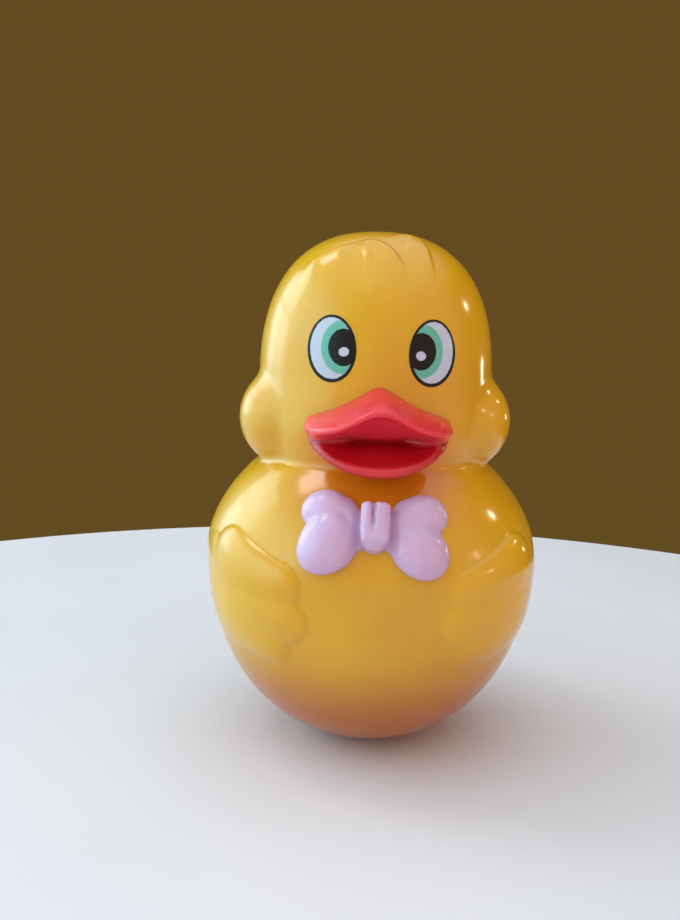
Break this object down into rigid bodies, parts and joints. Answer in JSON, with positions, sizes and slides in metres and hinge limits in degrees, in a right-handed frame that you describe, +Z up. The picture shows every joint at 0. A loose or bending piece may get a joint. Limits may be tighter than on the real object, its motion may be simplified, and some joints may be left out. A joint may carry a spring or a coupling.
{
  "type": "roly-poly duck",
  "caption": "Hollow self-righting plastic duck with a big head, open beak, bow tie, moulded wings and a weighted round base, holding a rod chime with a hanging clapper.",
  "frame": {"origin": "middle of the small flat under the body, on the surface the duck stands on", "axes": "+Z up through the crown, -Y the way the face looks, +X to the duck's own left, on the right when facing it"},
  "size_m": [0.08, 0.0856, 0.12],
  "materials": {
    "yellow_shell": "glossy slightly translucent warm yellow moulded plastic",
    "red_beak": "glossy orange-red moulded plastic",
    "lilac_bow": "satin lilac-pink moulded plastic",
    "eye_print": "printed eye: black rim, white, mint green ring, black pupil and a white dot",
    "iron": "plain grey iron casting",
    "steel": "bright zinc-plated steel",
    "brass": "turned brass",
    "chime_plastic": "ivory matt plastic"
  },
  "bodies": {
    "toy": {"front_shell": "yellow_shell", "rear_shell": "yellow_shell", "shell_screws": "steel", "beak": "red_beak", "beak_screws": "steel", "bow_tie": "lilac_bow", "bow_tie_screws": "steel", "left_eye": "eye_print", "right_eye": "eye_print", "ballast_weight": "iron", "ballast_screws": "steel", "chime_base": "chime_plastic", "tone_rod_1": "steel", "tone_rod_2": "steel", "tone_rod_3": "steel", "tone_rod_4": "steel", "tone_rod_5": "steel", "tone_rod_6": "steel", "tone_rod_7": "steel", "tone_rod_8": "steel", "chime_bridge": "chime_plastic", "bridge_screws": "steel", "upper_pin": "steel"},
    "link": {"hanger_link": "steel"},
    "clapper": {"lower_pin": "steel", "clapper_arm": "steel", "clapper_ball": "brass"}
  },
  "joints": [
    {"name": "clapper_nod", "type": "hinge", "parent": "toy", "child": "link", "pos_m": [0, 0, 0.0465], "axis": [1, 0, 0], "range_deg": [-19, 19]},
    {"name": "clapper_sway", "type": "hinge", "parent": "link", "child": "clapper", "pos_m": [0, 0, 0.042], "axis": [0, 1, 0], "range_deg": [-25, 25]}
  ]
}
